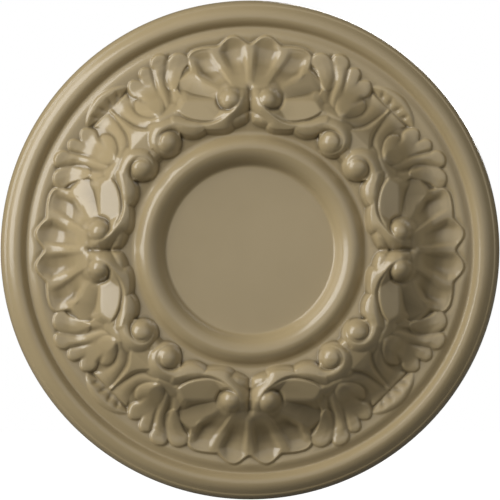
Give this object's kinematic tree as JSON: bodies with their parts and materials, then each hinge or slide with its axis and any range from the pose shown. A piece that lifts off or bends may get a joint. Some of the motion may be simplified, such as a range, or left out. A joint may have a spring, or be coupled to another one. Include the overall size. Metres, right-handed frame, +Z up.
{
  "type": "ceiling rose",
  "caption": "Round moulded ceiling rose: rolled rim, bell-shaped boss carved with shells, leaf sprays and scrolls, and a plain sunk centre for a light fitting.",
  "frame": {"origin": "centre of the flat back, where the rose meets the ceiling", "axes": "+Y out of the flat back towards the ceiling, so the carved face looks along -Y; +Z up through the middle of one shell, as the picture shows it. On a ceiling the rose is turned a quarter turn about X, so that its face looks down."},
  "size_m": [0.305, 0.044, 0.305],
  "materials": {
    "taupe_paint": "satin taupe paint on moulded urethane"
  },
  "bodies": {
    "root": {"ceiling_rose": "taupe_paint"}
  },
  "joints": []
}
